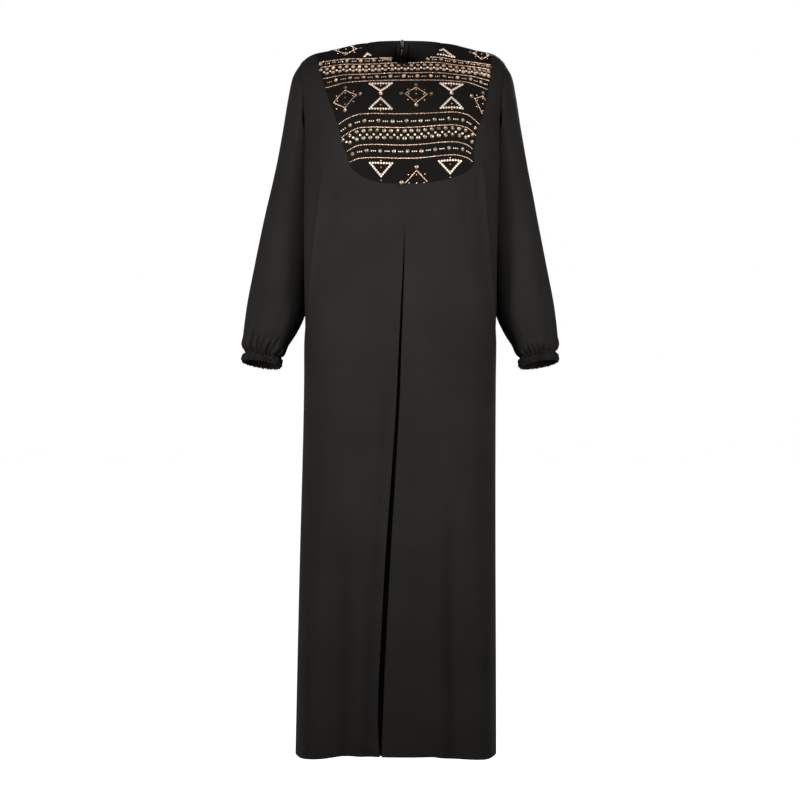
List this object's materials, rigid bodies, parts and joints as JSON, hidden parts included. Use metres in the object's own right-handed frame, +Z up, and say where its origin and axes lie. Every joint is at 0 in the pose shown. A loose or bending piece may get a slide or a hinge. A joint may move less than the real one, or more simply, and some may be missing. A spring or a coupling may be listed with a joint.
{
  "type": "manteau, a full-length long-sleeved dress coat with a sequinned bib",
  "caption": "Floor-length black modest dress coat, worn and hollow, with a round neck, sequinned bib, front pleat, sleeves gathered into elastic cuffs and a back zip.",
  "frame": {"origin": "middle of the neck, level with the side neck points, in the upright plane of the shoulder and side seams, where the wearer's neck and shoulders hold the garment", "axes": "+Z up the wearer, -Y the way the front faces, +X to the wearer's left"},
  "size_m": [0.6525, 0.3034, 1.4684],
  "materials": {
    "crepe": "matt satin crepe",
    "bib_cloth": "matt crepe under sequins",
    "label_satin": "satin, blank",
    "zip_nylon": "matt nylon",
    "zip_metal": "black lacquer",
    "sequin_copper": "metallic",
    "sequin_gold": "metallic",
    "sequin_bronze": "metallic",
    "thread": "sewing thread"
  },
  "bodies": {
    "garment": {"front": "crepe", "bib": "bib_cloth", "back_left": "crepe", "back_right": "crepe", "sleeve_left": "crepe", "sleeve_right": "crepe", "cuff_left": "crepe", "cuff_right": "crepe", "zip_tape_left": "zip_nylon", "zip_tape_right": "zip_nylon", "zip_coil": "zip_nylon", "zip_slider": "zip_metal", "neck_label": "label_satin"},
    "pull_tab": {"zip_pull_tab": "zip_metal"}
  },
  "joints": [
    {"name": "pull_tab_hinge", "type": "hinge", "parent": "garment", "child": "pull_tab", "pos_m": [0.00478, 0.05584, 0.01049], "axis": [1, 0, 0], "range_deg": [0, 150]}
  ]
}
